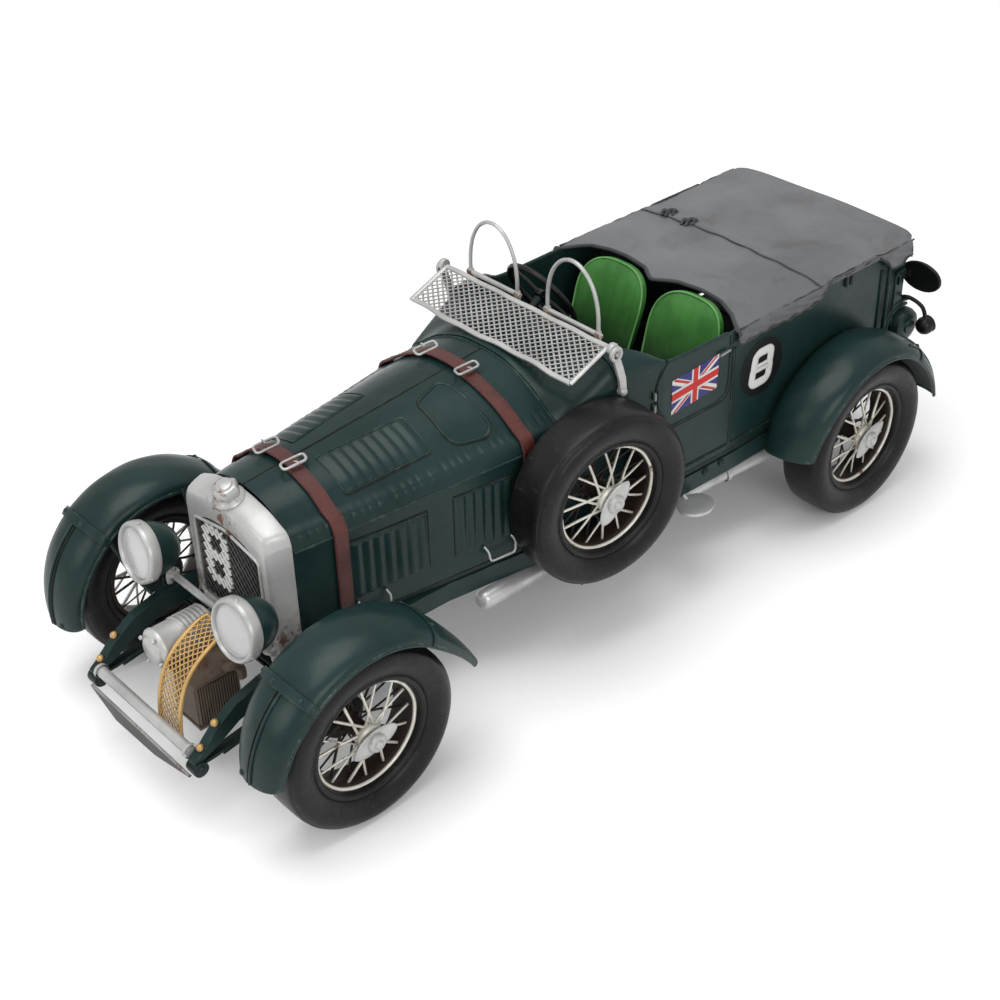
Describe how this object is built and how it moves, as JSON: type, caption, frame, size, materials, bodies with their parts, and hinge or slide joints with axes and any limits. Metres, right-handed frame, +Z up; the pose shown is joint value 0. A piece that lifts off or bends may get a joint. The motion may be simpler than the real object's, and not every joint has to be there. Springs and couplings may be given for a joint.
{
  "type": "open racing tourer display model",
  "caption": "Hand-made tin display model of a vintage open racing tourer with free-turning wire wheels, linked steering, a spare wheel and a folding mesh windscreen.",
  "frame": {"origin": "on the ground, under the middle of the overall length and width", "axes": "the car faces -X, its left side is -Y, +Z up"},
  "size_m": [0.387, 0.1586, 0.1504],
  "materials": {
    "green_paint": "very dark green semi-gloss paint with bright rubbed edges",
    "dark_paint": "almost black green paint, satin",
    "silver_paint": "silver paint, semi-gloss, with rusty corners",
    "wheel_paint": "cream-white paint with rust specks",
    "black_paint": "black paint, semi-gloss",
    "tyre_rubber": "near black, satin",
    "seat_leather": "bright green, satin, with paler piping",
    "strap_leather": "red-brown, worn",
    "grey_canvas": "grey, grimy along its edges",
    "brown_block": "brown, ribbed, dusty",
    "brass_mesh": "dull gold"
  },
  "bodies": {
    "car": {"aero_screen_left": "silver_paint", "aero_screen_right": "silver_paint", "body_side_left": "green_paint", "body_side_right": "green_paint", "bonnet_left": "green_paint", "bonnet_right": "green_paint", "bonnet_strap_front": "strap_leather", "bonnet_strap_rear": "strap_leather", "chassis_rail_left": "green_paint", "chassis_rail_right": "green_paint", "dashboard": "green_paint", "door_left": "green_paint", "exhaust_pipe": "silver_paint", "fender_front_left": "green_paint", "fender_front_right": "green_paint", "fender_rear_left": "green_paint", "fender_rear_right": "green_paint", "floor_pan": "green_paint", "front_axle_beam": "dark_paint", "front_cross_tube": "dark_paint", "front_leaf_spring_left": "dark_paint", "front_leaf_spring_right": "dark_paint", "fuel_tank": "green_paint", "headlamp_left": "silver_paint", "headlamp_right": "silver_paint", "lamp_bar": "silver_paint", "number_plate": "black_paint", "radiator_cap": "silver_paint", "radiator_grille": "black_paint", "radiator_shell": "silver_paint", "rear_axle": "dark_paint", "rear_panel": "green_paint", "screen_arm_left": "silver_paint", "screen_arm_right": "silver_paint", "scuttle": "green_paint", "seat_left": "seat_leather", "seat_right": "seat_leather", "spare_cradle": "black_paint", "splash_blade": "silver_paint", "steering_column": "dark_paint", "step_plate": "silver_paint", "stone_guard": "brass_mesh", "supercharger_block": "brown_block", "supercharger_casing": "silver_paint", "tail_lamp": "black_paint", "tonneau_cover": "grey_canvas", "tyre_spare": "tyre_rubber", "wire_wheel_spare": "wheel_paint"},
    "front_left_knuckle": {"steering_knuckle_left": "dark_paint"},
    "front_right_knuckle": {"steering_knuckle_right": "dark_paint"},
    "front_left_wheel": {"tyre_front_left": "tyre_rubber", "wire_wheel_front_left": "wheel_paint"},
    "front_right_wheel": {"tyre_front_right": "tyre_rubber", "wire_wheel_front_right": "wheel_paint"},
    "rear_left_wheel": {"tyre_rear_left": "tyre_rubber", "wire_wheel_rear_left": "wheel_paint"},
    "rear_right_wheel": {"tyre_rear_right": "tyre_rubber", "wire_wheel_rear_right": "wheel_paint"},
    "steering_wheel": {"steering_wheel": "black_paint"},
    "mesh_screen": {"mesh_screen": "silver_paint"}
  },
  "joints": [
    {"name": "front_left_steer", "type": "hinge", "parent": "car", "child": "front_left_knuckle", "pos_m": [-0.141, -0.057, 0.0366], "axis": [0, 0, 1], "range_deg": [-10, 10]},
    {"name": "front_left_spin", "type": "hinge", "parent": "front_left_knuckle", "child": "front_left_wheel", "pos_m": [-0.141, -0.066, 0.0366], "axis": [0, 1, 0], "continuous": true},
    {"name": "rear_left_spin", "type": "hinge", "parent": "car", "child": "rear_left_wheel", "pos_m": [0.134, -0.066, 0.0366], "axis": [0, 1, 0], "continuous": true},
    {"name": "front_right_steer", "type": "hinge", "parent": "car", "child": "front_right_knuckle", "pos_m": [-0.141, 0.057, 0.0366], "axis": [0, 0, 1], "range_deg": [-10, 10]},
    {"name": "front_right_spin", "type": "hinge", "parent": "front_right_knuckle", "child": "front_right_wheel", "pos_m": [-0.141, 0.066, 0.0366], "axis": [0, 1, 0], "continuous": true},
    {"name": "rear_right_spin", "type": "hinge", "parent": "car", "child": "rear_right_wheel", "pos_m": [0.134, 0.066, 0.0366], "axis": [0, 1, 0], "continuous": true},
    {"name": "steering_wheel_turn", "type": "hinge", "parent": "car", "child": "steering_wheel", "pos_m": [0.0315, 0.022, 0.1086], "axis": [0.866, 0, 0.5], "range_deg": [-30.5, 30.5]},
    {"name": "mesh_screen_fold", "type": "hinge", "parent": "car", "child": "mesh_screen", "pos_m": [0.0015, 0, 0.124], "axis": [0, 1, 0], "range_deg": [0, 110]}
  ],
  "couplings": [
    {"joint": "front_right_steer", "follows": "front_left_steer", "ratio": 1},
    {"joint": "steering_wheel_turn", "follows": "front_left_steer", "ratio": 3}
  ]
}
